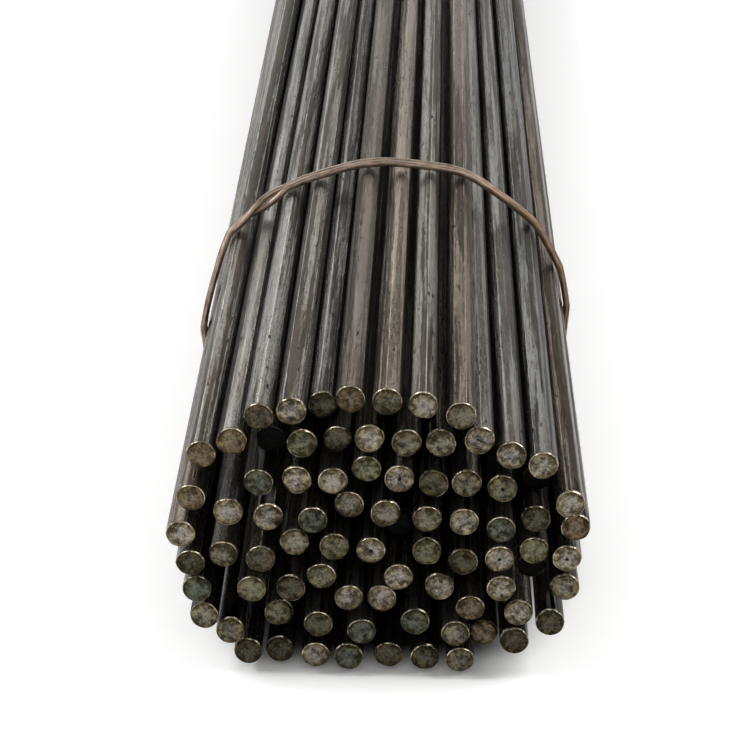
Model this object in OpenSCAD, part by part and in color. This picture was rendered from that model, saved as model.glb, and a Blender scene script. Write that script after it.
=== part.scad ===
// Bundle of plain round reinforcing bars, held by two wire ties.
// The bars run along +Y, and the ties lie on the floor at z = 0, under the middle of the bundle.

/* [Bars] */
// Diameter of each plain round bar
bar_d = 6; // [5:0.5:12]
// Length of each bar
bar_length = 1000; // [500:50:3000]
// Clearance between bars that lie on one another
bar_gap = 0.12; // [0.08:0.02:0.4]
// How far the topmost bars drift sideways from the front ends to the rear ends
top_drift = 9; // [0:1:10]

/* [Tie wires] */
// Diameter of the tie wire
wire_d = 1.6; // [0.8:0.1:2]
// Clearance between the wire and the bars that it lies on
wire_gap = 0.2; // [0.1:0.05:0.4]
// Clearance between two strands of wire side by side
strand_gap = 0.2; // [0.04:0.02:0.3]
// Distance from the front ends of the bars to the foot of the front tie
front_tie_inset = 88; // [60:1:150]
// Distance from the rear ends of the bars to the foot of the rear tie
rear_tie_inset = 150; // [60:1:200]
// Backward lean of a tie, in degrees
tie_lean = 30; // [0:1:40]
// Turn of a tie about the upright, with its right side backwards, in degrees
tie_turn = 8; // [0:1:15]
// Length of the twisted wire ends
twist_length = 18; // [10:1:30]

/* [Hidden] */

// Distance between the axes of two bars that lie on one another
pitch = bar_d + bar_gap;
// Height of the bottom bars' axes: they lie on the wire that passes under them
floor_z = bar_d / 2 + wire_gap + wire_d;
// Front ends of the bars, layer by layer from the floor up, as shares of the pitch:
// place across the bundle, height over the bottom bars, and how far the end stands back
layer_end_shares = [
    [[-4.39, 0.05, 0.35], [-3.33, 0, 0.55], [-2.1, 0, 0.25], [-0.99, 0, 0.15],
     [0.35, 0, 0.3], [1.57, 0, 0.15], [2.75, 0, 0]],
    [[-4.95, 1, 0.1], [-2, 1.34, 0], [-0.55, 1.04, 0.05], [1.23, 1.47, 0],
     [2.58, 1.02, 0], [3.55, 0.65, 0.7], [4.55, 0.75, 0.05], [5.73, 1.44, 0.1]],
    [[-5.8, 1.6, 0.05], [-3.34, 1.48, 0.5], [-0.97, 2.36, 0], [0.12, 2.3, 0.1],
     [3.06, 2.02, 0], [4.67, 1.78, 0.15]],
    [[-6.02, 2.6, 0.1], [-4.2, 2.67, 0], [-2.9, 2.66, 0.1], [-1.87, 3.19, 0],
     [0.67, 3.18, 0], [2.03, 2.81, 0.05], [4.07, 2.78, 0], [6.18, 2.81, 0.1]],
    [[-6.2, 3.65, 0], [-5.1, 3.94, 0.1], [-3.87, 3.83, 0], [-2.76, 4.4, 0.15],
     [-1.44, 4.31, 0], [-0.24, 4.15, 0.05], [1.6, 4.12, 0.1], [2.8, 3.79, 0],
     [3.99, 3.91, 0], [5.1, 3.18, 0.9], [5.13, 4.22, 0.05], [6.21, 3.95, 0]],
    [[-6.49, 4.72, 0], [-4.91, 5.52, 0.1], [-3.6, 5.38, 0], [-2.14, 5.3, 0],
     [0.24, 5.56, 0], [0.68, 4.65, 1.1], [1.6, 5.43, -0.1], [2.81, 5.24, 0.1],
     [4.02, 5, 0], [5.14, 5.37, 0.1], [6.46, 5.06, 0.1]],
    [[-6.12, 6.02, 0.1], [-3.89, 6.65, 0.05], [-2.65, 6.7, 0.15], [-1.47, 6.74, 0],
     [-0.95, 5.8, 0.15], [0.69, 6.85, 0], [1.8, 6.61, 0.15], [2.87, 6.71, 0],
     [4.03, 6.52, 0], [6.23, 6.13, -0.3]],
    [[-5.73, 7.62, 0.1], [-0.38, 7.15, 0.1], [5.2, 6.4, 1.1], [5.32, 7.45, -0.15],
     [4.29, 7.75, 0]],
    [[-4.72, 8.17, 0], [-3.49, 7.96, 0.6], [-2.46, 8.07, 0.05], [-1.33, 7.95, 0.6],
     [-0.28, 8.3, 0], [0.91, 8.16, 0], [2.02, 8.1, 0.1], [3.26, 8.28, 0]],
    [[-3.83, 9, 0.1], [-2.78, 9.25, 0], [-1.82, 8.95, 1.1], [-0.9, 9.61, 0.2],
     [0.29, 9.63, 0], [1.43, 9.5, 0], [2.65, 9.15, 0]]
];
// Power by which the sideways drift grows from layer to layer
drift_power = 4;

// Every bar's front end, with the number of its layer as a fourth value
end_shares = [for (i = [0 : len(layer_end_shares) - 1])
    for (share = layer_end_shares[i]) concat(share, [i + 1])];

// Axis of a bar at its front end, and its place across the bundle at its rear end
function front_x(share) = share[0] * pitch;
function front_z(share) = floor_z + share[1] * pitch;
function rear_x(share) = front_x(share) + top_drift * (share[3] / len(layer_end_shares)) ^ drift_power;

// Rows of a table in ascending order of one of their values
function ascending(rows, key) =
    len(rows) < 2 ? rows :
    let (pivot = rows[floor(len(rows) / 2)][key])
    concat(
        ascending([for (row = rows) if (row[key] < pivot) row], key),
        [for (row = rows) if (row[key] == pivot) row],
        ascending([for (row = rows) if (row[key] > pivot) row], key));

// Height at which a bar's rear end comes to rest on the bars that already lie below it
function rest_height(x, settled) =
    max([floor_z, for (bar = settled)
        if (abs(x - bar[0]) < pitch) bar[1] + sqrt(pitch ^ 2 - (x - bar[0]) ^ 2)]);

// Bars as [rear x, rear z, share]: each rear end is dropped onto those before it
function settle(shares, settled = []) =
    len(settled) == len(shares) ? settled :
    let (share = shares[len(settled)], x = rear_x(share))
    settle(shares, concat(settled, [[x, rest_height(x, settled), share]]));

settled_bars = settle(ascending(end_shares, 1));

// Front end of a bar's axis, and the axis as a vector as long as the bar
function bar_front(bar) = [front_x(bar[2]), bar[2][2] * pitch, front_z(bar[2])];
function bar_axis(bar) =
    let (across = bar[0] - front_x(bar[2]), up = bar[1] - front_z(bar[2]))
    [across, sqrt(bar_length ^ 2 - across ^ 2 - up ^ 2), up];

// Distance from a bar's axis to the axis of the wire that passes round it
wrap_r = bar_d / 2 + wire_gap + wire_d / 2;
// Distance between the axes of two strands side by side
strand_pitch = wire_d + strand_gap;
// Backward shift of a tie for each unit of height, and for each unit to the right
lean_rise = tan(tie_lean);
turn_rise = tan(tie_turn);
// Sides of the wire, and the widest turn between two of its rings
wire_sides = 8;
ring_turn = 12;
// Radius of the springy wire's free spans as a share of the bundle's width, how far up the bundle they
// start as a share of its height, and the bow of the taut spans below them, in degrees
spring_share = 0.85;
spring_start_share = 0.4;
taut_bow = 0.01;
// Places of the twisted ends and of the strands' crossing, as shares of the way round from the lowest bar
knot_share = 0.27;
crossing_share = 0.7;
// Length of the crossing and of one twist of the wire ends, as shares of the wire's diameter
crossing_length_share = 7;
twist_lay_share = 5;
// Rings along the crossing and in each twist
crossing_rings = 8;
twist_rings = 8;

// Point in X and Z where a bar's axis passes through the leaning plane of a tie
function axis_in_plane(bar, foot_y) =
    let (front = bar_front(bar), axis = bar_axis(bar))
    let (ahead = foot_y + lean_rise * front[2] + turn_rise * front[0] - front[1])
    let (t = ahead / (axis[1] - lean_rise * axis[2] - turn_rise * axis[0]))
    [front[0] + t * axis[0], front[2] + t * axis[2]];

// Outermost points of a set, counter-clockwise from the lowest one
function heading(a, b) = atan2(b[1] - a[1], b[0] - a[0]);
function turn_to(old_heading, new_heading) =
    let (turn = new_heading - old_heading)
    turn < 0 ? turn + 360 : turn;
function next_corner(points, from, old_heading) =
    let (others = [for (p = points) if (p != from) p])
    let (turns = [for (p = others) turn_to(old_heading, heading(from, p))])
    others[search(min(turns), turns)[0]];
function corners_from(points, corners, old_heading = 0) =
    let (from = corners[len(corners) - 1], next = next_corner(points, from, old_heading))
    next == corners[0] ? corners :
    corners_from(points, concat(corners, [next]), heading(from, next));
function lowest(points) =
    let (heights = [for (p = points) p[1]])
    points[search(min(heights), heights)[0]];

// Bow of the span between two corners, half its turn, for a spring of [height of its start, radius]
function spring_of(points) =
    let (across = [for (p = points) p[0]], up = [for (p = points) p[1]])
    [min(up) + spring_start_share * (max(up) - min(up)), spring_share * (max(across) - min(across))];
function span_bow(a, b, spring) =
    min(a[1], b[1]) < spring[0] ? taut_bow : asin(norm(b - a) / (2 * spring[1]));

// Corners that the springy wire touches: the loosest one is left out until the wire turns round them all
function spare_turn(before, at, after, spring) =
    turn_to(heading(before, at), heading(at, after)) - span_bow(before, at, spring) - span_bow(at, after, spring);
function touched(corners, spring) =
    let (count = len(corners))
    let (spares = [for (i = [0 : count - 1])
        spare_turn(corners[(i + count - 1) % count], corners[i], corners[(i + 1) % count], spring)])
    let (loosest = search(min(spares), spares)[0])
    min(spares) >= 0 ? corners :
    touched([for (i = [0 : count - 1]) if (i != loosest) corners[i]], spring);

// Way of the wire round those corners: a turn round each corner, then a bowed span to the next.
// Each of the two is an arc: [centre, radius, outward direction at its start, turn]
function direction(angle) = [cos(angle), sin(angle)];
function corner_arc(corner, way_in, bow_in, way_out, bow_out) =
    let (start = way_in + bow_in - 90)
    [corner, wrap_r, start, max(0, turn_to(way_in, way_out) - bow_in - bow_out)];
function span_arc(corner, next, bow) =
    let (start = heading(corner, next) - bow - 90)
    let (radius = (norm(next - corner) / 2 + wrap_r * sin(bow)) / sin(bow))
    [corner - (radius - wrap_r) * direction(start), radius, start, 2 * bow];
function arc_length(arc) = arc[1] * arc[3] * PI / 180;

// The arcs in order, each with the length before it as a fifth value
function wrap_of(points) =
    let (spring = spring_of(points))
    let (corners = touched(corners_from(points, [lowest(points)]), spring), count = len(corners))
    let (ways = [for (i = [0 : count - 1]) heading(corners[i], corners[(i + 1) % count])])
    let (bows = [for (i = [0 : count - 1]) span_bow(corners[i], corners[(i + 1) % count], spring)])
    let (arcs = [for (i = [0 : count - 1])
        let (before = (i + count - 1) % count)
        each [corner_arc(corners[i], ways[before], bows[before], ways[i], bows[i]),
              span_arc(corners[i], corners[(i + 1) % count], bows[i])]])
    [for (i = 0, so_far = 0; i < len(arcs); so_far = so_far + arc_length(arcs[i]), i = i + 1)
        concat(arcs[i], [so_far])];
function wrap_length(wrap) =
    let (last = wrap[len(wrap) - 1])
    last[4] + arc_length(last);

// Point of the wrap a length from its start, with the outward direction there: [x, z, direction]
function wrap_point(wrap, place) =
    let (s = place - floor(place / wrap_length(wrap)) * wrap_length(wrap))
    let (arc = wrap[max([for (i = [0 : len(wrap) - 1]) if (wrap[i][4] <= s) i])])
    let (out = arc[2] + (s - arc[4]) / arc[1] * 180 / PI)
    concat(arc[0] + arc[1] * direction(out), [out]);

// Places of the rings along one wrap, none of them further apart in a turn than ring_turn
function ring_places(wrap) =
    [for (arc = wrap)
        let (count = ceil(max(arc[3], taut_bow) / ring_turn))
        for (k = [0.5 : count])
            arc[4] + arc_length(arc) * k / count];

// Route of a tie as steps of [place along the wrap from the knot, lift off the bars, strands to the rear].
// In the first lap the wire is the front strand up to the crossing, and in the second it is the rear one.
function crossing_turn(place, round) =
    let (from_crossing = place - floor(place / round) * round - (crossing_share - knot_share) * round)
    180 * min(1, max(0, from_crossing / (crossing_length_share * wire_d) + 0.5));
function wrapped_step(place, round) =
    let (turn = crossing_turn(place, round))
    let (lift = strand_pitch / 2 * sin(turn), rearward = (1 - cos(turn)) / 2)
    place < round ? [place, -lift, rearward] : [place, lift, 1 - rearward];
function crossing_places(round) =
    [for (k = [0 : crossing_rings])
        (crossing_share - knot_share) * round + (k / crossing_rings - 0.5) * crossing_length_share * wire_d];
function lap_places(wrap) =
    let (round = wrap_length(wrap), crossing = crossing_places(round))
    [for (ring = ring_places(wrap))
        let (place = ring - knot_share * round)
        let (in_lap = place < 0 ? place + round : place)
        if (in_lap < crossing[0] || in_lap > crossing[crossing_rings]) [in_lap],
     for (place = crossing) [place]];

// Bend from the wrap up to the twisted ends, over the rear strand, and the twist: shares of the strand pitch
bend_shares = [[4, 0.2, 0], [2.7, 0.5, 0], [1.5, 0.8, 0.1], [0.8, 0.95, 0.5], [0.5, 1, 1.2]];
twist_start_share = 3;
twist_steps = ceil(twist_length / (twist_lay_share * wire_d) * twist_rings);
function bend(side) =
    [for (share = bend_shares) [side * share[0] * strand_pitch, share[1] * strand_pitch, share[2]]];
function twist(phase) =
    [for (i = [0 : twist_steps])
        let (angle = phase + 360 * i / twist_rings)
        [strand_pitch / 2 * cos(angle),
         strand_pitch * (1 + sin(angle) / 2),
         twist_start_share + twist_length / strand_pitch * i / twist_steps]];
function reversed(items) = [for (i = [len(items) - 1 : -1 : 0]) items[i]];

// Whole route: in from one twisted end, twice round the bundle, and out by the other
function tie_route(wrap) =
    let (round = wrap_length(wrap), lead = bend_shares[0][0] * strand_pitch + wire_gap)
    let (laps = [for (lap = [0, 1], row = ascending(lap_places(wrap), 0)) row[0] + lap * round])
    concat(
        reversed(concat(bend(1), twist(0))),
        [for (place = laps) if (place > lead && place < 2 * round - lead) wrapped_step(place, round)],
        [for (step = concat(bend(-1), twist(180))) step + [2 * round, 0, 0]]);

// Route of a tie in space, as [point, outward direction]: side by side, the strands keep their pitch
// on the leaning sides too
function tie_points(foot_y) =
    let (wrap = wrap_of([for (bar = settled_bars) axis_in_plane(bar, foot_y)]))
    [for (step = tie_route(wrap))
        let (at = wrap_point(wrap, step[0] + knot_share * wrap_length(wrap)))
        let (out = [cos(at[2]), 0, sin(at[2])])
        let (slope = lean_rise * cos(at[2]) - turn_rise * sin(at[2]))
        let (rearward = step[2] * strand_pitch * norm([1, slope]))
        [[at[0], foot_y + lean_rise * at[1] + turn_rise * at[0] + rearward, at[1]] + step[1] * out, out]];

function unit(v) = v / norm(v);
// Ring of a swept wire, square to its way and turned so that one corner points outwards
function wire_ring(before, point, after, out) =
    let (way = unit(unit(point - before) + unit(after - point)))
    let (u = unit(out - (out * way) * way), v = cross(way, u))
    [for (k = [0 : wire_sides - 1])
        point + wire_d / 2 * (u * cos(360 * k / wire_sides) + v * sin(360 * k / wire_sides))];

module swept_wire(route) {
    last = len(route) - 1;
    rings = [for (i = [0 : last])
        let (point = route[i][0])
        let (before = i > 0 ? route[i - 1][0] : 2 * point - route[1][0])
        let (after = i < last ? route[i + 1][0] : 2 * point - route[last - 1][0])
        wire_ring(before, point, after, route[i][1])];
    sides = [for (i = [0 : last - 1], k = [0 : wire_sides - 1])
        let (a = i * wire_sides + k, b = i * wire_sides + (k + 1) % wire_sides)
        [a, a + wire_sides, b + wire_sides, b]];
    caps = [
        [for (k = [0 : wire_sides - 1]) k],
        [for (k = [wire_sides - 1 : -1 : 0]) last * wire_sides + k]
    ];
    polyhedron(points = [for (ring = rings) each ring], faces = concat(sides, caps), convexity = 10);
}

// Middle of the whole bundle across and along the bars, which goes to the origin
tie_feet = [front_tie_inset, bar_length - rear_tie_inset];
bar_x = [for (bar = settled_bars) each [bar[0], front_x(bar[2])]];
wire_x = [for (foot_y = tie_feet, step = tie_points(foot_y)) step[0][0]];
bar_y = [for (bar = settled_bars) bar_front(bar)[1]];
function middle(low, high) = (low + high) / 2;
bundle_middle = [
    middle(min(min(bar_x) - bar_d / 2, min(wire_x) - wire_d / 2),
           max(max(bar_x) + bar_d / 2, max(wire_x) + wire_d / 2)),
    middle(min(bar_y), max(bar_y) + bar_length),
    0
];

module bar_at(bar) {
    axis = bar_axis(bar);
    translate(bar_front(bar) - bundle_middle)
        rotate([0, acos(axis[2] / bar_length), atan2(axis[1], axis[0])])
            cylinder(h = bar_length, d = bar_d, $fn = 48);
}

module bars_layer(number) {
    color("dimgray")
        for (bar = settled_bars)
            if (bar[2][3] == number) bar_at(bar);
}

module tie(foot_y) {
    color("rosybrown")
        translate(-bundle_middle)
            swept_wire(tie_points(foot_y));
}

bars_layer(1);  // bars_layer_1
bars_layer(2);  // bars_layer_2
bars_layer(3);  // bars_layer_3
bars_layer(4);  // bars_layer_4
bars_layer(5);  // bars_layer_5
bars_layer(6);  // bars_layer_6
bars_layer(7);  // bars_layer_7
bars_layer(8);  // bars_layer_8
bars_layer(9);  // bars_layer_9
bars_layer(10);  // bars_layer_10
tie(tie_feet[0]);  // front_tie
tie(tie_feet[1]);  // rear_tie
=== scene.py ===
"""Bundle of plain round reinforcing bars held by wire ties: surfaces, light and camera.

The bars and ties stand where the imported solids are. Each bar gets a worn, rolled surface and two
sheared ends, and each tie becomes a round wire along the same way.
"""

import math

import bmesh
import bpy
import numpy as np
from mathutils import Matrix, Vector


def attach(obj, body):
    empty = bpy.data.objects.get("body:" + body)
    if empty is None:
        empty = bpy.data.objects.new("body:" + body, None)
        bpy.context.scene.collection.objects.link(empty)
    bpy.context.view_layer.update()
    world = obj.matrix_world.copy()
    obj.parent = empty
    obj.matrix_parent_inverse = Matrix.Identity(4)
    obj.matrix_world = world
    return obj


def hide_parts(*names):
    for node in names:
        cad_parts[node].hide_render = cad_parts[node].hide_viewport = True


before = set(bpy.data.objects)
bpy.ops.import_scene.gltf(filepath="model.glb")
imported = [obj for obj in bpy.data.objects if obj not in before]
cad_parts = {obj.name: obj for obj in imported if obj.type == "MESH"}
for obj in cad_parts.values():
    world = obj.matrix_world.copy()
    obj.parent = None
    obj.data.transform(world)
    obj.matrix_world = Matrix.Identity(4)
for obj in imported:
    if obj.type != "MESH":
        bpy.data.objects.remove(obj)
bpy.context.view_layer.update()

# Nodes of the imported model, from the floor up
BAR_NODES = sorted((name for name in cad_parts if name.startswith("bars_layer_")),
                   key=lambda name: int(name.split("_")[-1]))
TIE_NODES = sorted(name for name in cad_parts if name.endswith("_tie"))
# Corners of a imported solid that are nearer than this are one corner
WELD_DISTANCE = 1e-6
# Start of all random draws
RANDOM_SEED = 7
# Waves that make up a ripple
RIPPLE_WAVES = 14

# Corners round a bar
BAR_SIDES = 72
# Rings along a shaft, closer together at its ends: even steps on a half circle that start at this angle
SHAFT_RINGS = 24
FIRST_RING_ANGLE = 0.06
SHAFT_RING_ANGLES = np.linspace(FIRST_RING_ANGLE, math.pi - FIRST_RING_ANGLE, SHAFT_RINGS)
SHAFT_RING_SHARES = 0.5 - 0.5 * np.cos(SHAFT_RING_ANGLES)
# Rounding of a sheared rim as a share of the bar's radius
RIM_SHARE = 0.15
# How much larger it is on one side and smaller on the other, and how strongly it ripples, as shares of it
RIM_UNEVEN_SHARE = 0.5
RIM_RIPPLE_SHARE = 0.35
# Wave number of those ripples
RIM_WAVE_NUMBER = 3
# Steps of the rounding, as angles from the shaft to the end face
RIM_ANGLES = np.radians([0, 30, 60, 90])
# Rings of an end face, as shares of the radius inside the rim
FACE_RING_SHARES = np.array([0.96, 0.88, 0.78, 0.67, 0.55, 0.43, 0.31, 0.2, 0.09])
# Slope, dish and roughness of an end face, as shares of the radius
FACE_SLOPE_SHARE = 0.05
FACE_DISH_SHARE = 0.05
FACE_ROUGH_SHARE = 0.03
# Wave number of the roughness, and how steeply it rises inwards from nothing at the edge
FACE_WAVE_NUMBER = 6
FACE_ROUGH_RISE = 1.6
# Flats that rolling leaves along a bar: how many, how many corners an edge between two of them may be out
# of place, and how flat they are, from round (0) to straight (1)
FLAT_COUNT = 7
FLAT_SHIFT = 2
FLATNESS_RANGE = (0.2, 0.6)
# How strongly the flatness ripples along a bar, as a share of it, and the wave number of the ripples
FLATNESS_RIPPLE_SHARE = 0.25
FLATNESS_WAVE_NUMBER = 9
# How much of their flatness is left at the two ends of a bar
END_FLATNESS_SHARE = 0.3
# How strongly the edges between the flats show as bright worn lines, partly painted highlight
FLAT_EDGE_RANGE = (0.7, 1)
# How far a bar is out of round, as a share of its radius
OVAL_SHARE = 0.008

# Tone of each bar's front end, layer by layer from the floor up and from left to right
END_TONES = {
    "bars_layer_1": "dark dark pale teal dark dark mid",
    "bars_layer_2": "mid dark teal teal mid brown dark dark",
    "bars_layer_3": "mid olive pale pale brown pale",
    "bars_layer_4": "teal olive dark olive pale pale pale mid",
    "bars_layer_5": "dark mid dark mid olive pale olive dark pale deep olive pale",
    "bars_layer_6": "pale pale pale teal mid deep mid pale teal dark brown",
    "bars_layer_7": "brown teal pale pale mid pale dark mid olive pale",
    "bars_layer_8": "brown olive pale deep pale",
    "bars_layer_9": "brown deep olive dark pale mid mid pale",
    "bars_layer_10": "dark pale dark brown olive pale mid",
}
# Reflective colours of those tones
TONE_COLOURS = {
    "pale": (0.112, 0.102, 0.091),
    "mid": (0.068, 0.063, 0.051),
    "olive": (0.056, 0.054, 0.038),
    "brown": (0.064, 0.051, 0.037),
    "teal": (0.04, 0.044, 0.037),
    "dark": (0.031, 0.028, 0.021),
    # deep is painted shade: near black for the ends that lie set back between the others, where shade falls
    "deep": (0.0008, 0.0008, 0.0008),
}
# Marks on the front ends, by the bar's number in its row from 0 on: kind of mark, and the hour of a clock
# that it points to. Shade marks are painted shade on one side of a face; glow and gleam marks are painted
# light patches
END_MARKS = {
    "bars_layer_1": {2: [("shade", 3)]},
    "bars_layer_2": {4: [("gleam", 10)]},
    "bars_layer_3": {5: [("spot", 8)]},
    "bars_layer_4": {1: [("crack", 1), ("crack", 5), ("crack", 9)],
                     4: [("crack", 12), ("crack", 4), ("crack", 8), ("spot", 5)],
                     6: [("crack", 2), ("crack", 6), ("crack", 10)]},
    "bars_layer_5": {1: [("shade", 3)], 3: [("glow", 0)], 5: [("pit", 0)], 8: [("pit", 0)],
                     11: [("pit", 0)]},
    "bars_layer_6": {0: [("streak", 12)], 1: [("glow", 0)], 2: [("notch", 4)],
                     4: [("glow", 0), ("shade", 7)],
                     7: [("crack", 3), ("crack", 7), ("crack", 11)], 9: [("streak", 1)]},
    "bars_layer_7": {3: [("glow", 0)], 4: [("gleam", 11), ("shade", 6)], 5: [("pit", 0), ("crack", 5)],
                     8: [("pit", 0)]},
    "bars_layer_8": {2: [("shade", 2)], 4: [("crack", 6)]},
    "bars_layer_9": {3: [("gleam", 12), ("shade", 6)], 6: [("spot", 10), ("spot", 4)],
                     7: [("crack", 2), ("crack", 8), ("groove", 10)]},
    "bars_layer_10": {1: [("spot", 6)], 3: [("spot", 12)], 4: [("shade", 6)],
                      5: [("groove", 12), ("spot", 8), ("glow", 0)], 6: [("shade", 11), ("gleam", 3)]},
}
# Kinds of mark: distance of the middle, length and width as shares of the radius, and how much lighter it is
MARK_SHAPE_SHARES = {
    "pit": (0, 0.13, 0.13, -0.9),
    "notch": (0.85, 0.3, 0.24, -1.2),
    "groove": (0, 0.6, 0.1, -0.5),
    "crack": (0.6, 0.35, 0.1, -0.38),
    "spot": (0.5, 0.2, 0.25, -0.45),
    "shade": (0.9, 0.6, 1.2, -0.42),
    "glow": (0, 0.45, 0.45, 0.6),
    "gleam": (0.4, 0.4, 0.35, 0.7),
    "streak": (0, 0.65, 0.12, 0.6),
}
# Degrees between two hours, of which 12 points up
HOUR_STEP = 30
# Marks lie on a bar no further from its front end than this many diameters
MARK_REACH = 1
# How bright the worn rim of an end is; on the deepest ones it is kept almost dark as painted shade
RIM_LIGHT_RANGE = (0.55, 1.0)
PAINTED_SHADE_RIM_LIGHT = 0.08
# Tone of each shaft, in the same order as the ends: those inside the bundle take the dull colour, a lighter
# colour that is painted light in the gaps between the ends
SHAFT_TONES = {
    "bars_layer_1": "grey grey grey grey grey grey grey",
    "bars_layer_2": "grey dull dull dull dull grey grey grey",
    "bars_layer_3": "grey dull dull dull dull dull",
    "bars_layer_4": "grey dull dull dull dull dull dull grey",
    "bars_layer_5": "grey dull dull dull dull dull dull dull dull dull dull grey",
    "bars_layer_6": "brown grey dull dull dull dull dull dull dull grey brown",
    "bars_layer_7": "brown grey dull dull dull dull dull dull grey brown",
    "bars_layer_8": "pale grey blue grey blue",
    "bars_layer_9": "pale dark dark grey dark beige dark grey",
    "bars_layer_10": "pale pale blue dark brown grey brown",
}
# Colours that mill scale takes on the shafts
SCALE_COLOURS = {
    "grey": (0.1, 0.095, 0.088),
    "pale": (0.118, 0.115, 0.109),
    "dark": (0.062, 0.054, 0.046),
    "blue": (0.09, 0.091, 0.088),
    "beige": (0.11, 0.098, 0.086),
    "brown": (0.095, 0.08, 0.067),
    # dull is painted light: a lighter colour for the shafts inside the bundle, which lifts the shade in the
    # gaps
    "dull": (0.2, 0.185, 0.16),
}
# How far a bar's tones are off those colours, as factors
TONE_SPREAD_RANGE = (0.88, 1.12)
# Seeds of the noises on the pieces
NOISE_SEED_RANGE = (0, 100)

# Corners round a wire, and the share of its diameter between two rings
WIRE_SIDES = 14
WIRE_RING_SHARE = 0.6
# Edges of a packed wire that turn more sharply than this, in radians, go round its two cut ends
CUT_END_ANGLE = 1.2

# What the materials read from each corner of a piece: kind of attribute and the field that holds it
CORNER_VALUES = {
    # Place across the bar or wire in radii, and along it in diameters
    "place": ("FLOAT_VECTOR", "vector"),
    # Seed of the noises
    "seed": ("FLOAT", "value"),
    # How much lighter the marks make it, painted shade and light among them
    "mark": ("FLOAT", "value"),
    # Tone, rust and edge of a rolled flat
    "flat": ("FLOAT_VECTOR", "vector"),
    # How bright the worn rim of an end is, almost dark on the deepest ends as painted shade
    "rim_light": ("FLOAT", "value"),
    # Colours of a bar's ends and of its shaft
    "end_tint": ("FLOAT_COLOR", "color"),
    "shaft_tint": ("FLOAT_COLOR", "color"),
    # How far to the right it is, as a share of the tie's half width
    "rightness": ("FLOAT", "value"),
}

# Noises of the mill scale: stretch along the bar, scale, detail and roughness
SCALE_NOISES = {
    "band": (0.03, 2.6, 2.0, 0.5),
    "grain": (0.14, 8.0, 4.0, 0.7),
    "cloud": (0.12, 1.5, 4.0, 0.6),
    "fleck": (0.35, 4.0, 3.0, 0.5),
    "wear": (0.25, 3.0, 4.0, 0.7),
    "grit": (0.4, 16.0, 2.0, 0.6),
}
# Strips of scale along a shaft: weights of the noises, and where a strip starts and is full
STRIP_WEIGHTS = {"band": 1.0, "grain": 0.22}
STRIP_RANGE = (0.53, 0.69)
# Lightness of a shaft, and the tints of its darkest and lightest places
SCALE_LIGHT_WEIGHTS = {"flat_tone": 0.3, "strip": 0.27, "grain": 0.42, "grit": 0.36}
SCALE_LIGHT_RANGE = (0.42, 0.95)
SCALE_DARK_TINT = (0.31, 0.265, 0.215)
SCALE_LIGHT_TINT = (2.42, 2.42, 2.37)
# Rust on a shaft, how much of it shows at most, and its colour
RUST_WEIGHTS = {"cloud": 1.0, "flat_rust": 0.16, "grain": 0.3}
RUST_RANGE = (0.68, 0.94)
MOST_RUST = 0.5
RUST_COLOUR = (0.1, 0.074, 0.054)
# Bright edges between the flats: partly worn metal, partly painted highlight along the edges
WORN_EDGE_AND_HIGHLIGHT_WEIGHTS = {"flat_edge": 1.0, "wear": 1.4}
WORN_EDGE_AND_HIGHLIGHT_RANGE = (1.15, 1.6)
WORN_EDGE_AND_HIGHLIGHT_TINT = (3.4, 3.35, 3.2)
# Small dark pits in the scale
SCALE_PIT_RANGE = (0.66, 0.69)
SCALE_PIT_COLOUR = (0.015, 0.013, 0.012)
# Shine of a shaft, with its roughness from the darkest to the lightest places
SCALE_METALLIC = 0.93
SCALE_SPECULAR_TINT = (0.5, 0.5, 0.5, 1)
SCALE_ROUGHNESS_RANGE = (0.31, 0.19)
# Relief of the scale: weights, strength, and depth in metres
SCALE_RELIEF_WEIGHTS = {"strip": 0.25, "grain": 0.5, "grit": 0.35, "pit": -0.3}
SCALE_RELIEF_STRENGTH = 0.7
SCALE_RELIEF_DEPTH = 0.0004

# Noises of the sheared faces, as in the mill scale
FACE_NOISES = {
    "patches": (1, 1.3, 1.0, 0.5),
    "blotches": (2, 2.5, 2.0, 0.6),
    "grains": (1, 8.0, 3.0, 0.65),
    "hue": (-1, 2.6, 2.0, 0.5),
    "glint": (3, 3.0, 2.0, 0.5),
}
# Faint ring that the shear leaves on a face: its radius and half width as shares of the bar's radius
GROOVE_SHARE = 0.86
GROOVE_WIDTH_SHARE = 0.09
# Part of the radius over which a face gets darker outwards
OUTER_RANGE = (0.15, 0.95)
# Lightness of a face, and the tints of its darkest and lightest places
MOTTLE_WEIGHTS = {"patches": 0.3, "blotches": 0.55, "grains": 0.15, "mark": 0.15, "groove": -0.04,
                  "outer": -0.07}
MOTTLE_RANGE = (0.345, 0.575)
FACE_DARK_TINT = (0.4, 0.36, 0.28)
FACE_LIGHT_TINT = (2.25, 2.3, 2.25)
# Warm places of a face
WARMTH_WEIGHTS = {"hue": 0.65, "from_centre": 0.4}
WARMTH_RANGE = (0.46, 0.72)
WARM_TINT = (1.1, 0.97, 0.66)
# Small dull specks of a face
SPECK_RANGE = (0.42, 0.58)
SPECK_TINT = (0.6, 0.58, 0.54)
# Bright rim of a face, worn metal with painted glints and a painted highlight on its upper half: where it
# starts and is full, how it glints, with the least that is left between the glints, how it gets stronger
# from the lower to the upper half, with the least that is left below, and its colour
RIM_WEIGHTS = {"from_centre": 1.0, "grains": 0.1}
RIM_RANGE = (0.96, 1.0)
GLINT_RANGE = (0.44, 0.56)
LEAST_GLINT = 0.15
UPPER_RIM_HIGHLIGHT_RANGE = (-0.2, 0.7)
LEAST_LOWER_RIM_HIGHLIGHT = 0.25
RIM_AND_GLINT_COLOUR = (0.85, 0.73, 0.56)
# Dark marks of a face, which also deepen the painted shade marks: from which to which lightness they go from
# full to nothing, and how dark they are
DARK_MARK_RANGE = (-0.6, -0.25)
MOST_DARK_MARK = 0.92
DARK_MARK_COLOUR = (0.004, 0.0035, 0.003)
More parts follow.
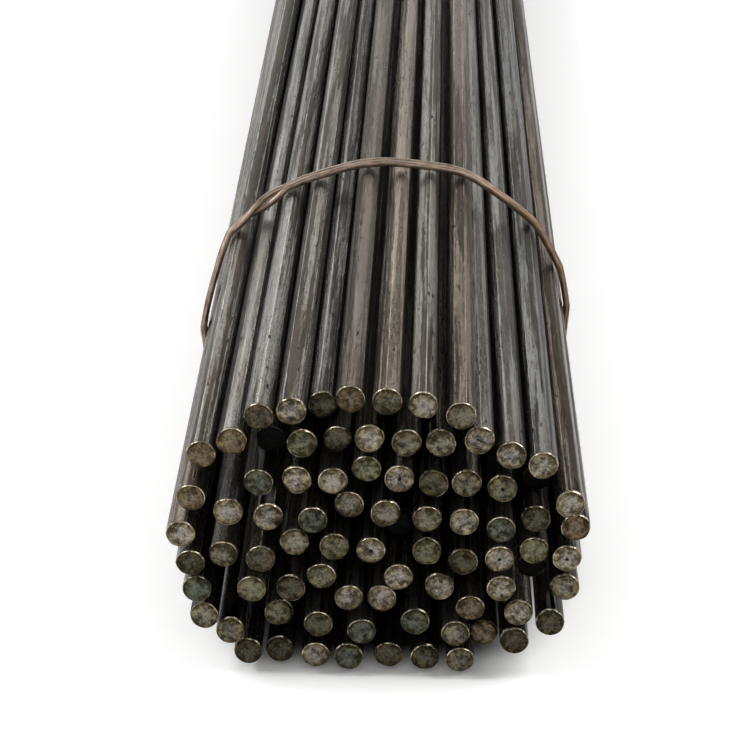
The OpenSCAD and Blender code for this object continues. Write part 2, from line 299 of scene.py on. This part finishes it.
# Shine of a face, from its middle to its bright rim
FACE_METALLIC_RANGE = (0.92, 0.85)
FACE_ROUGHNESS_RANGE = (0.42, 0.2)
FACE_SPECULAR_LEVEL = 0.25
# Relief of a face: strength, and depth in metres
FACE_RELIEF_STRENGTH = 0.6
FACE_RELIEF_DEPTH = 0.0003

# Noises of the tie wire, as in the mill scale
WIRE_NOISES = {
    "spots": (0.3, 2.5, 4.0, 0.6),
    "lines": (0.04, 5.0, 3.0, 0.5),
}
# Spots on the wire, from brown to tan
SPOT_RANGE = (0.35, 0.65)
WIRE_BROWN = (0.12, 0.076, 0.048)
WIRE_TAN = (0.36, 0.265, 0.2)
# Pale lines along the wire, and how much of them shows at most
LINE_RANGE = (0.5, 0.7)
MOST_LINE = 0.5
LINE_COLOUR = (0.66, 0.58, 0.51)
# How far to the right the wire gets darker and browner, as shares of the tie's half width, and the tint it
# takes there
RIGHT_DARKENING_RANGE = (0.35, 0.75)
RIGHT_DARKENING_TINT = (0.5, 0.42, 0.34)
# Shine of the wire, and its relief
WIRE_METALLIC = 0.7
WIRE_ROUGHNESS = 0.36
WIRE_RELIEF_STRENGTH = 0.4
WIRE_RELIEF_DEPTH = 0.0001

# Floor's half width, its colour in scattered light, and its colour where it is seen, also in reflections
FLOOR_REACH = 60.0
FLOOR_COLOUR = 0.8
FLOOR_SEEN_COLOUR = 1.2
# Painted shade on the floor under the bundle, a dark patch where its contact shadow falls: its colour, half
# width and half length, how softly it ends at the sides and at the ends, and where and how much it narrows
# towards its ends
PAINTED_SHADE_COLOUR = 0.05
SHADE_HALF_WIDTH = 0.025
SHADE_HALF_LENGTH = 0.488
SHADE_SOFTNESS = 0.023
SHADE_END_SOFTNESS = 0.009
SHADE_TAPER_START = 0.462
SHADE_TAPER = 0.4
# Strength of the light from all round
AMBIENT_STRENGTH = 0.36
# Soft boxes: place, size and power in watts
SOFT_BOXES = [
    ("soft_box_left", (-0.75, -0.45, 0.85), (0.55, 0.55), 7.5),
    ("soft_box_right", (0.75, -0.45, 0.85), (0.55, 0.55), 7.5),
    ("soft_box_low_left", (-0.46, 1.4, 0.33), (0.72, 0.5), 2.0),
    ("soft_box_low_right", (0.46, 1.4, 0.33), (0.72, 0.5), 1.5),
    ("soft_box_high_left", (-0.46, 1.4, 0.86), (0.72, 0.55), 4.0),
    ("soft_box_high_right", (0.46, 1.4, 0.86), (0.72, 0.55), 2.3),
    ("soft_box_front", (0.0, -1.9, 1.1), (1.4, 0.8), 5.5),
]
# Point that the soft boxes face
SOFT_BOX_TARGET = Vector((0, -0.4, 0.03))

# Camera: place, lens and sensor width in millimetres, downward pitch and heading to the left in degrees
CAMERA_PLACE = (0.007278, -0.91881, 0.26771)
CAMERA_LENS = 114.24
CAMERA_SENSOR = 36.0
CAMERA_PITCH = 25.437
CAMERA_HEADING = 1.152


def ripple(points, rng, wave_number):
    """Smooth random relief, mostly between -1 and 1, at each of the points."""
    directions = rng.normal(0, wave_number, (RIPPLE_WAVES, points.shape[-1]))
    phases = rng.uniform(0, 2 * math.pi, RIPPLE_WAVES)
    return np.cos(points @ directions.T + phases).sum(-1) / math.sqrt(RIPPLE_WAVES)


def welded(node):
    """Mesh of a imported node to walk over, with its doubled corners made one."""
    solid = bmesh.new()
    solid.from_mesh(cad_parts[node].data)
    bmesh.ops.remove_doubles(solid, verts=solid.verts, dist=WELD_DISTANCE)
    solid.verts.ensure_lookup_table()
    solid.verts.index_update()
    return solid


def next_ring(ring, seen, edges_of):
    """Corners not yet seen that the given edges join to a ring."""
    following = []
    for vert in ring:
        for edge in edges_of(vert):
            other = edge.other_vert(vert)
            if other.index not in seen:
                seen.add(other.index)
                following.append(other)
    return following


def islands(node):
    """Corners of each separate solid of a node, as arrays of points."""
    solid = welded(node)
    seen = set()
    found = []
    for start in solid.verts:
        if start.index in seen:
            continue
        seen.add(start.index)
        members = [start]
        for vert in members:
            members += next_ring([vert], seen, lambda vert: vert.link_edges)
        found.append(np.array([vert.co for vert in members]))
    solid.free()
    return found


def circle_through(points):
    """Centre and radius of the circle across the bars that lies nearest to a ring of points."""
    across = points[:, [0, 2]]
    sums = np.column_stack([2 * across, np.ones(len(across))])
    x, z, rest = np.linalg.lstsq(sums, (across ** 2).sum(1), rcond=None)[0]
    return np.array([x, points[:, 1].mean(), z]), math.sqrt(rest + x * x + z * z)


def bars_of(node):
    """Front centre, rear centre and radius of each bar of a node, from left to right."""
    bars = []
    for points in islands(node):
        middle = points[:, 1].mean()
        front, radius = circle_through(points[points[:, 1] < middle])
        rear, _ = circle_through(points[points[:, 1] > middle])
        bars.append((front, rear, radius))
    return sorted(bars, key=lambda bar: bar[0][0])


def flats_round(angles, shares, rng):
    """Rolled flats along a bar: each ring's radius as a share, and each corner's tone, rust and edge."""
    evenly = np.rint(BAR_SIDES / FLAT_COUNT * np.arange(FLAT_COUNT)).astype(int)
    starts = evenly + rng.integers(-FLAT_SHIFT, FLAT_SHIFT + 1, FLAT_COUNT)
    stops = np.append(starts[1:], starts[0] + BAR_SIDES)
    radius = np.ones((len(shares), BAR_SIDES))
    looks = np.zeros((BAR_SIDES, 3))
    step = angles[1]
    for start, stop in zip(starts, stops):
        corners = np.arange(start, stop)
        flatness = rng.uniform(*FLATNESS_RANGE) * (
            1 + FLATNESS_RIPPLE_SHARE * ripple(shares[:, None], rng, FLATNESS_WAVE_NUMBER))
        flatness[[0, -1]] *= END_FLATNESS_SHARE
        chord = math.cos((stop - start) / 2 * step) / np.cos((corners - (start + stop) / 2) * step)
        radius[:, corners % BAR_SIDES] = 1 - flatness[:, None] * (1 - chord)
        looks[corners % BAR_SIDES, :2] = rng.uniform(size=2)
        looks[start % BAR_SIDES, 2] = rng.uniform(*FLAT_EDGE_RANGE)
    turn = rng.integers(BAR_SIDES)
    oval = OVAL_SHARE * rng.uniform() * (1 + np.cos(2 * (angles - rng.uniform(0, math.pi))))
    return np.roll(radius, turn, 1) - oval, np.roll(looks, turn, 0)


def end_rings(angles, outline, rng):
    """Rings of a sheared end from the shaft inwards: how far out and how deep, in shares of the radius."""
    rim = RIM_SHARE * (1 + RIM_UNEVEN_SHARE * np.cos(angles - rng.uniform(0, 2 * math.pi)))
    circle = np.column_stack([np.cos(angles), np.sin(angles)])
    rim = rim * (1 + RIM_RIPPLE_SHARE * ripple(circle, rng, RIM_WAVE_NUMBER))
    across = []
    depth = []
    for angle in RIM_ANGLES:
        across.append(outline - rim * (1 - math.cos(angle)))
        depth.append(rim * (1 - math.sin(angle)))
    for share in FACE_RING_SHARES:
        across.append((outline - rim) * share)
        depth.append(np.zeros_like(rim))
    return np.array(across), np.array(depth)


def face_depth(across, angles, rng):
    """Uneven depth of an end face, as a share of the radius, on both sides of 0."""
    x = across * np.cos(angles)
    y = across * np.sin(angles)
    slope_way = rng.uniform(0, 2 * math.pi)
    slope = FACE_SLOPE_SHARE * rng.uniform() * (x * math.cos(slope_way) + y * math.sin(slope_way))
    dish = FACE_DISH_SHARE * rng.uniform(-1, 1) * (1 - across ** 2)
    rough = FACE_ROUGH_SHARE * ripple(np.stack([x, y], -1), rng, FACE_WAVE_NUMBER)
    return slope + dish + rough * np.clip(FACE_ROUGH_RISE * (1 - across), 0, 1)


def bar_points(bar, rng):
    """Rings of corners of one bar from the front face to the rear face: their points, places and looks."""
    front, rear, radius = bar
    length = np.linalg.norm(rear - front)
    along = (rear - front) / length
    side = np.cross(along, (0, 0, 1))
    side /= np.linalg.norm(side)
    up = np.cross(side, along)
    angles = np.linspace(0, 2 * math.pi, BAR_SIDES, endpoint=False)

    outline, looks = flats_round(angles, SHAFT_RING_SHARES, rng)
    across = []
    depth = []
    for ring_outline in (outline[0], outline[-1]):
        ring_across, ring_depth = end_rings(angles, ring_outline, rng)
        relief = face_depth(ring_across, angles, rng)
        across.append(ring_across)
        depth.append((ring_depth + relief - relief.min()) * radius)
    shaft_depth = np.repeat(SHAFT_RING_SHARES[:, None] * length, BAR_SIDES, 1)
    ring_across = np.vstack([across[0][::-1], outline, across[1]])
    ring_along = np.vstack([depth[0][::-1], shaft_depth, length - depth[1]])

    x = ring_across * np.cos(angles)
    y = ring_across * np.sin(angles)
    points = front + radius * (x[..., None] * side + y[..., None] * up) + ring_along[..., None] * along
    place = np.stack([x, y, ring_along / (2 * radius)], -1)
    return points, place, np.tile(looks, (len(points), 1))


def marks_on(place, marks):
    """How much lighter or darker (below 0) the marks make each place of an end face."""
    lightness = np.zeros(place.shape[:-1])
    for kind, hour in marks:
        middle, length, width, change = MARK_SHAPE_SHARES[kind]
        way = math.radians(90 - HOUR_STEP * hour)
        towards = place[..., 0] * math.cos(way) + place[..., 1] * math.sin(way)
        beside = place[..., 1] * math.cos(way) - place[..., 0] * math.sin(way)
        lightness += change * np.exp(-((towards - middle) / length) ** 2 - (beside / width) ** 2)
    return lightness


def quads_between(rings, sides, first):
    """Faces that join each ring to the next, with corners numbered from the first on, and their rings."""
    ring, corner = np.meshgrid(np.arange(rings - 1), np.arange(sides), indexing="ij")
    after = (corner + 1) % sides
    a = first + ring * sides + corner
    b = first + ring * sides + after
    return np.stack([a, b, b + sides, a + sides], -1).reshape(-1, 4), ring.reshape(-1)


def bar_faces(rings, first):
    """Faces of one bar, with corners numbered from the first on, and their materials: 0 shaft, 1 ends."""
    faces, ring = quads_between(rings, BAR_SIDES, first)
    end_count = len(RIM_ANGLES) + len(FACE_RING_SHARES)
    is_end = (ring < end_count - 1) | (ring >= rings - end_count)
    corner = np.arange(BAR_SIDES)
    after = (corner + 1) % BAR_SIDES
    centre = first + rings * BAR_SIDES
    last = centre - BAR_SIDES
    front_fan = np.stack([first + after, first + corner, np.full(BAR_SIDES, centre)], -1)
    rear_fan = np.stack([last + corner, last + after, np.full(BAR_SIDES, centre + 1)], -1)
    material_index = is_end.astype(int).tolist() + [1] * (2 * BAR_SIDES)
    return faces.tolist() + front_fan.tolist() + rear_fan.tolist(), material_index


def with_centres(rings):
    """Values at a bar's rings of corners, and then at the centres of its front and rear faces."""
    return np.vstack([rings.reshape(-1, 3), rings[0].mean(0), rings[-1].mean(0)])


def spread_tint(colour, rng):
    """Colour a little lighter or darker than the given one, with an alpha of 1."""
    return [*(np.array(colour) * rng.uniform(*TONE_SPREAD_RANGE)), 1]


def new_piece(name, points, faces, materials, material_index, values):
    """Object made of faces that are smooth all over, with the values that the materials read."""
    mesh = bpy.data.meshes.new(name)
    mesh.from_pydata(points.tolist(), [], faces)
    for material in materials:
        mesh.materials.append(material)
    mesh.polygons.foreach_set("material_index", np.asarray(material_index, np.int32))
    mesh.polygons.foreach_set("use_smooth", np.ones(len(mesh.polygons), bool))
    for value_name, numbers in values.items():
        kind, field = CORNER_VALUES[value_name]
        data = mesh.attributes.new(value_name, kind, "POINT").data
        data.foreach_set(field, np.ascontiguousarray(numbers, np.float32).ravel())
    piece = bpy.data.objects.new(name, mesh)
    bpy.context.scene.collection.objects.link(piece)
    return piece


def build_bars(node, materials, rng):
    """All bars of a node as one piece."""
    points = []
    faces = []
    material_index = []
    values = {name: [] for name in ("place", "seed", "mark", "flat", "rim_light", "end_tint", "shaft_tint")}
    first = 0
    bars = zip(bars_of(node), END_TONES[node].split(), SHAFT_TONES[node].split())
    for number, (bar, end_tone, shaft_tone) in enumerate(bars):
        rings, ring_places, looks = bar_points(bar, rng)
        new_faces, new_index = bar_faces(len(rings), first)
        points.append(with_centres(rings))
        faces += new_faces
        material_index += new_index
        place = with_centres(ring_places)
        count = len(place)
        first += count
        marks = marks_on(place, END_MARKS[node].get(number, []))
        values["place"].append(place)
        values["mark"].append(marks * (place[:, 2] < MARK_REACH))
        values["flat"].append(np.vstack([looks, np.zeros((2, 3))]))
        values["seed"].append(np.full(count, rng.uniform(*NOISE_SEED_RANGE)))
        # Ends of the deep tone get an almost dark rim, as painted shade
        rim_light = PAINTED_SHADE_RIM_LIGHT if end_tone == "deep" else rng.uniform(*RIM_LIGHT_RANGE)
        values["rim_light"].append(np.full(count, rim_light))
        values["end_tint"].append(np.tile(spread_tint(TONE_COLOURS[end_tone], rng), (count, 1)))
        values["shaft_tint"].append(np.tile(spread_tint(SCALE_COLOURS[shaft_tone], rng), (count, 1)))
    values = {name: np.concatenate(parts) for name, parts in values.items()}
    name = node.replace("bars", "round_bars")
    piece = new_piece(name, np.vstack(points), faces, materials, material_index, values)
    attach(piece, "root")
    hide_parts(node)


def tie_route(node):
    """Centres of the rings of a packed tie in order, and the wire's radius."""
    solid = welded(node)

    def sharp_edges(vert):
        """Edges of a corner that go round a cut end."""
        return [edge for edge in vert.link_edges if edge.calc_face_angle() > CUT_END_ANGLE]

    ring = [min((vert for vert in solid.verts if sharp_edges(vert)), key=lambda vert: tuple(vert.co))]
    seen = {ring[0].index}
    for vert in ring:
        ring += next_ring([vert], seen, sharp_edges)
    centres = []
    radii = []
    while ring:
        points = np.array([vert.co for vert in ring])
        centres.append(points.mean(0))
        radii.append(np.linalg.norm(points - centres[-1], axis=1).mean())
        ring = next_ring(ring, seen, lambda vert: vert.link_edges)
    solid.free()
    return np.array(centres), float(np.median(radii))


def smooth_route(centres, step):
    """Points a step apart on the curve that passes through the centres (Catmull-Rom)."""
    ends = [2 * centres[0] - centres[1], 2 * centres[-1] - centres[-2]]
    knots = np.vstack([ends[0], centres, ends[1]])
    points = []
    for before, start, stop, after in zip(knots, knots[1:], knots[2:], knots[3:]):
        count = max(1, math.ceil(np.linalg.norm(stop - start) / step))
        t = (np.arange(count) / count)[:, None]
        points.append(0.5 * (2 * start + (stop - before) * t
                             + (2 * before - 5 * start + 4 * stop - after) * t ** 2
                             + (3 * start - before - 3 * stop + after) * t ** 3))
    return np.vstack(points + [centres[-1:]])


def build_tie(node, material, rng):
    """Round wire along the way of a packed tie."""
    centres, radius = tie_route(node)
    route = smooth_route(centres, 2 * radius * WIRE_RING_SHARE)
    way = np.gradient(route, axis=0)
    way /= np.linalg.norm(way, axis=1)[:, None]
    out = np.cross(way[0], (0, 1, 0))
    angles = np.linspace(0, 2 * math.pi, WIRE_SIDES, endpoint=False)
    walked = np.concatenate([[0], np.cumsum(np.linalg.norm(np.diff(route, axis=0), axis=1))])
    rings = []
    places = []
    for point, direction, distance in zip(route, way, walked):
        out = out - out.dot(direction) * direction
        out /= np.linalg.norm(out)
        beside = np.cross(direction, out)
        ring = np.cos(angles)[:, None] * out + np.sin(angles)[:, None] * beside
        rings.append(point + radius * ring)
        along = np.full(WIRE_SIDES, distance / (2 * radius))
        places.append(np.column_stack([np.cos(angles), np.sin(angles), along]))
    points = np.vstack(rings)
    faces, _ = quads_between(len(rings), WIRE_SIDES, 0)
    last = len(points) - WIRE_SIDES
    caps = [list(range(WIRE_SIDES))[::-1], list(range(last, last + WIRE_SIDES))]
    faces = faces.tolist() + caps
    values = {
        "place": np.vstack(places),
        "seed": np.full(len(points), rng.uniform(*NOISE_SEED_RANGE)),
        "rightness": points[:, 0] / points[:, 0].max(),
    }
    name = node.replace("_tie", "_tie_wire")
    piece = new_piece(name, points, faces, [material], [0] * len(faces), values)
    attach(piece, "root")
    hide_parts(node)


def add(tree, kind, settings=None, **inputs):
    """New shader node with its settings, and with values or links on its inputs, by name or as _number."""
    node = tree.nodes.new(kind)
    for name, value in (settings or {}).items():
        setattr(node, name, value)
    for name, value in inputs.items():
        key = int(name[1:]) if name[1:].isdigit() else name.replace("_", " ")
        socket = node.inputs[key]
        if isinstance(value, bpy.types.NodeSocket):
            tree.links.new(value, socket)
        else:
            socket.default_value = value
    return node


def new_material(name):
    """Material with only a Principled shader, its node tree and that shader."""
    material = bpy.data.materials.new(name)
    material.use_nodes = True
    tree = material.node_tree
    return material, tree, tree.nodes["Principled BSDF"]


def read(tree, name, output="Fac"):
    """What the corners of a piece say under a name."""
    return add(tree, "ShaderNodeAttribute", {"attribute_name": name}).outputs[output]


def maths(tree, operation, first, second=0.0):
    """Result of an operation on one or two numbers."""
    return add(tree, "ShaderNodeMath", {"operation": operation}, _0=first, _1=second).outputs[0]


def parts_of(tree, vector):
    """X, Y and Z of a vector."""
    return add(tree, "ShaderNodeSeparateXYZ", _0=vector).outputs


def stretched(tree, vector, scale):
    """Vector with each of its parts times a number."""
    return add(tree, "ShaderNodeVectorMath", {"operation": "MULTIPLY"}, _0=vector, _1=scale).outputs[0]


def noises(tree, table):
    """Noises of a table, by name, at the place and with the seed that a piece's corners give."""
    place = read(tree, "place", "Vector")
    seed = read(tree, "seed")
    found = {}
    for name, (stretch, scale, detail, roughness) in table.items():
        node = add(tree, "ShaderNodeTexNoise", {"noise_dimensions": "4D"},
                   Vector=stretched(tree, place, (1, 1, stretch)), W=seed, Scale=scale, Detail=detail,
                   Roughness=roughness)
        found[name] = node.outputs["Fac"]
    return found


def remap(tree, value, low, high, new_low=0.0, new_high=1.0):
    """Value moved smoothly from one range to another."""
    node = add(tree, "ShaderNodeMapRange", {"interpolation_type": "SMOOTHSTEP"},
               _0=value, _1=low, _2=high, _3=new_low, _4=new_high)
    return node.outputs[0]


def opaque(colour):
    """Colour as a node takes it: a link as it is, and numbers with an alpha of 1."""
    return colour if isinstance(colour, bpy.types.NodeSocket) else (*colour, 1)


def mix(tree, factor, first, second, blend="MIX"):
    """Colour between two others. The node's inputs 6 and 7 and its output 2 are those for colours."""
    node = add(tree, "ShaderNodeMix", {"data_type": "RGBA", "blend_type": blend},
               _0=factor, _6=opaque(first), _7=opaque(second))
    return node.outputs[2]


def tinted(tree, colour, tint):
    """Colour times a tint."""
    return mix(tree, 1.0, colour, tint, "MULTIPLY")


def weighted(tree, layers, weights):
    """Sum of the layers that the weights name, each times its weight."""
    total = None
    for name, weight in weights.items():
        term = maths(tree, "MULTIPLY", layers[name], weight)
        total = term if total is None else maths(tree, "ADD", total, term)
    return total


def raise_surface(tree, shader, height, strength, depth):
    """Bump on a shader's surface."""
    bump = add(tree, "ShaderNodeBump", Strength=strength, Distance=depth, Height=height)
    tree.links.new(bump.outputs[0], shader.inputs["Normal"])


def mill_scale():
    """Dark rolled steel with long flats and strips along the bar."""
    material, tree, shader = new_material("mill_scale")
    tint = read(tree, "shaft_tint", "Color")
    flat = parts_of(tree, read(tree, "flat", "Vector"))
    layers = noises(tree, SCALE_NOISES)
    layers.update(flat_tone=flat["X"], flat_rust=flat["Y"], flat_edge=flat["Z"])
    layers["strip"] = remap(tree, weighted(tree, layers, STRIP_WEIGHTS), *STRIP_RANGE)
    layers["pit"] = remap(tree, layers["fleck"], *SCALE_PIT_RANGE)
    light = remap(tree, weighted(tree, layers, SCALE_LIGHT_WEIGHTS), *SCALE_LIGHT_RANGE)
    colour = mix(tree, light, tinted(tree, tint, SCALE_DARK_TINT), tinted(tree, tint, SCALE_LIGHT_TINT))
    rust = remap(tree, weighted(tree, layers, RUST_WEIGHTS), *RUST_RANGE, 0.0, MOST_RUST)
    colour = mix(tree, rust, colour, RUST_COLOUR)
    # Bright lines on the flats' edges: partly wear, partly painted highlight
    worn_edge_and_highlight = remap(tree, weighted(tree, layers, WORN_EDGE_AND_HIGHLIGHT_WEIGHTS), *WORN_EDGE_AND_HIGHLIGHT_RANGE)
    colour = mix(tree, worn_edge_and_highlight, colour, tinted(tree, tint, WORN_EDGE_AND_HIGHLIGHT_TINT))
    colour = mix(tree, layers["pit"], colour, SCALE_PIT_COLOUR)
    tree.links.new(colour, shader.inputs["Base Color"])
    shader.inputs["Metallic"].default_value = SCALE_METALLIC
    shader.inputs["Specular Tint"].default_value = SCALE_SPECULAR_TINT
    tree.links.new(remap(tree, light, 0.0, 1.0, *SCALE_ROUGHNESS_RANGE), shader.inputs["Roughness"])
    height = weighted(tree, layers, SCALE_RELIEF_WEIGHTS)
    raise_surface(tree, shader, height, SCALE_RELIEF_STRENGTH, SCALE_RELIEF_DEPTH)
    return material


def sheared_face():
    """Mottled face of a sheared bar, with a bright worn rim that carries painted glints and a painted
    highlight.
    """
    material, tree, shader = new_material("sheared_face")
    tint = read(tree, "end_tint", "Color")
    place = read(tree, "place", "Vector")
    across = stretched(tree, place, (1, 1, 0))
    from_centre = add(tree, "ShaderNodeVectorMath", {"operation": "LENGTH"}, _0=across).outputs["Value"]
    from_groove = maths(tree, "ABSOLUTE", maths(tree, "SUBTRACT", from_centre, GROOVE_SHARE))
    layers = noises(tree, FACE_NOISES)
    layers["mark"] = read(tree, "mark")
    layers["from_centre"] = from_centre
    layers["groove"] = remap(tree, from_groove, 0.0, GROOVE_WIDTH_SHARE, 1.0, 0.0)
    layers["outer"] = remap(tree, from_centre, *OUTER_RANGE)
    mottle = weighted(tree, layers, MOTTLE_WEIGHTS)
    light = remap(tree, mottle, *MOTTLE_RANGE)
    colour = mix(tree, light, tinted(tree, tint, FACE_DARK_TINT), tinted(tree, tint, FACE_LIGHT_TINT))
    warmth = remap(tree, weighted(tree, layers, WARMTH_WEIGHTS), *WARMTH_RANGE)
    colour = mix(tree, warmth, colour, tinted(tree, colour, WARM_TINT))
    speck = remap(tree, layers["grains"], *SPECK_RANGE)
    colour = mix(tree, speck, tinted(tree, colour, SPECK_TINT), colour)
    rim = remap(tree, weighted(tree, layers, RIM_WEIGHTS), *RIM_RANGE)
    rim = maths(tree, "MULTIPLY", rim, read(tree, "rim_light"))
    # Painted glints: a noise breaks the bright rim into short bright arcs
    rim = maths(tree, "MULTIPLY", rim, remap(tree, layers["glint"], *GLINT_RANGE, LEAST_GLINT, 1.0))
    # Painted highlight: the rim gets brighter towards the upper half of the face
    upward = parts_of(tree, place)["Y"]
    rim = maths(tree, "MULTIPLY", rim, remap(tree, upward, *UPPER_RIM_HIGHLIGHT_RANGE, LEAST_LOWER_RIM_HIGHLIGHT, 1.0))
    colour = mix(tree, rim, colour, RIM_AND_GLINT_COLOUR)
    dark_mark_and_shade = remap(tree, layers["mark"], *DARK_MARK_RANGE, MOST_DARK_MARK, 0.0)
    colour = mix(tree, dark_mark_and_shade, colour, DARK_MARK_COLOUR)
    tree.links.new(colour, shader.inputs["Base Color"])
    tree.links.new(remap(tree, rim, 0.0, 1.0, *FACE_METALLIC_RANGE), shader.inputs["Metallic"])
    tree.links.new(remap(tree, rim, 0.0, 1.0, *FACE_ROUGHNESS_RANGE), shader.inputs["Roughness"])
    shader.inputs["Specular IOR Level"].default_value = FACE_SPECULAR_LEVEL
    raise_surface(tree, shader, mottle, FACE_RELIEF_STRENGTH, FACE_RELIEF_DEPTH)
    return material


def annealed_wire():
    """Soft tan-brown tie wire, darker and browner towards its right side."""
    material, tree, shader = new_material("annealed_wire")
    layers = noises(tree, WIRE_NOISES)
    colour = mix(tree, remap(tree, layers["spots"], *SPOT_RANGE), WIRE_BROWN, WIRE_TAN)
    colour = mix(tree, remap(tree, layers["lines"], *LINE_RANGE, 0.0, MOST_LINE), colour, LINE_COLOUR)
    right_darkening = remap(tree, read(tree, "rightness"), *RIGHT_DARKENING_RANGE)
    colour = mix(tree, right_darkening, colour, tinted(tree, colour, RIGHT_DARKENING_TINT))
    tree.links.new(colour, shader.inputs["Base Color"])
    shader.inputs["Metallic"].default_value = WIRE_METALLIC
    shader.inputs["Roughness"].default_value = WIRE_ROUGHNESS
    raise_surface(tree, shader, layers["spots"], WIRE_RELIEF_STRENGTH, WIRE_RELIEF_DEPTH)
    return material


def build_floor():
    """Pale floor that takes the bundle's shadow, with painted shade under the bundle itself."""
    reach = FLOOR_REACH
    mesh = bpy.data.meshes.new("floor")
    mesh.from_pydata([(-reach, -reach, 0), (reach, -reach, 0), (reach, reach, 0), (-reach, reach, 0)], [],
                     [(0, 1, 2, 3)])
    floor = bpy.data.objects.new("floor", mesh)
    bpy.context.scene.collection.objects.link(floor)
    material, tree, shader = new_material("floor_white")
    path = add(tree, "ShaderNodeLightPath").outputs
    seen = maths(tree, "MAXIMUM", path["Is Camera Ray"], path["Is Glossy Ray"])
    seen = maths(tree, "MAXIMUM", seen, path["Is Transmission Ray"])
    colour = mix(tree, seen, (FLOOR_COLOUR,) * 3, (FLOOR_SEEN_COLOUR,) * 3)
    place = parts_of(tree, add(tree, "ShaderNodeNewGeometry").outputs["Position"])
    along = maths(tree, "ABSOLUTE", place["Y"])
    past = maths(tree, "MAXIMUM", maths(tree, "SUBTRACT", along, SHADE_TAPER_START), 0.0)
    narrowing = maths(tree, "MULTIPLY", past, SHADE_TAPER)
    across = maths(tree, "ADD", maths(tree, "ABSOLUTE", place["X"]), narrowing)
    # Painted shade: the floor is made dark under the bundle, where its shadow falls
    painted_shade_mask = maths(tree, "MULTIPLY",
                  remap(tree, across, SHADE_HALF_WIDTH, SHADE_HALF_WIDTH + SHADE_SOFTNESS, 1.0, 0.0),
                  remap(tree, along, SHADE_HALF_LENGTH, SHADE_HALF_LENGTH + SHADE_END_SOFTNESS, 1.0, 0.0))
    colour = mix(tree, painted_shade_mask, colour, (PAINTED_SHADE_COLOUR,) * 3)
    diffuse = add(tree, "ShaderNodeBsdfDiffuse", Color=colour)
    tree.nodes.remove(shader)
    tree.links.new(diffuse.outputs[0], tree.nodes["Material Output"].inputs["Surface"])
    mesh.materials.append(material)


def build_light():
    """Even light from all round, and soft boxes above, behind and in front of the bundle."""
    world = bpy.data.worlds.new("studio")
    world.use_nodes = True
    background = world.node_tree.nodes["Background"]
    background.inputs["Color"].default_value = (1, 1, 1, 1)
    background.inputs["Strength"].default_value = AMBIENT_STRENGTH
    bpy.context.scene.world = world
    for name, place, size, power in SOFT_BOXES:
        light = bpy.data.lights.new(name, "AREA")
        light.shape = "RECTANGLE"
        light.size, light.size_y = size
        light.energy = power
        lamp = bpy.data.objects.new(name, light)
        lamp.visible_camera = False
        lamp.location = place
        lamp.rotation_mode = "QUATERNION"
        lamp.rotation_quaternion = (SOFT_BOX_TARGET - lamp.location).to_track_quat("-Z", "Y")
        bpy.context.scene.collection.objects.link(lamp)


def build_camera():
    """Camera at the photograph's viewing angle."""
    data = bpy.data.cameras.new("camera")
    data.lens = CAMERA_LENS
    data.sensor_width = CAMERA_SENSOR
    camera = bpy.data.objects.new("camera", data)
    camera.location = CAMERA_PLACE
    camera.rotation_euler = (math.radians(90 - CAMERA_PITCH), 0, math.radians(CAMERA_HEADING))
    bpy.context.scene.collection.objects.link(camera)
    bpy.context.scene.camera = camera


randomness = np.random.default_rng(RANDOM_SEED)
bar_materials = [mill_scale(), sheared_face()]
wire_material = annealed_wire()
for bar_node in BAR_NODES:
    build_bars(bar_node, bar_materials, randomness)
for tie_node in TIE_NODES:
    build_tie(tie_node, wire_material, randomness)
build_floor()
build_light()
build_camera()
bpy.context.scene.view_settings.view_transform = "Standard"
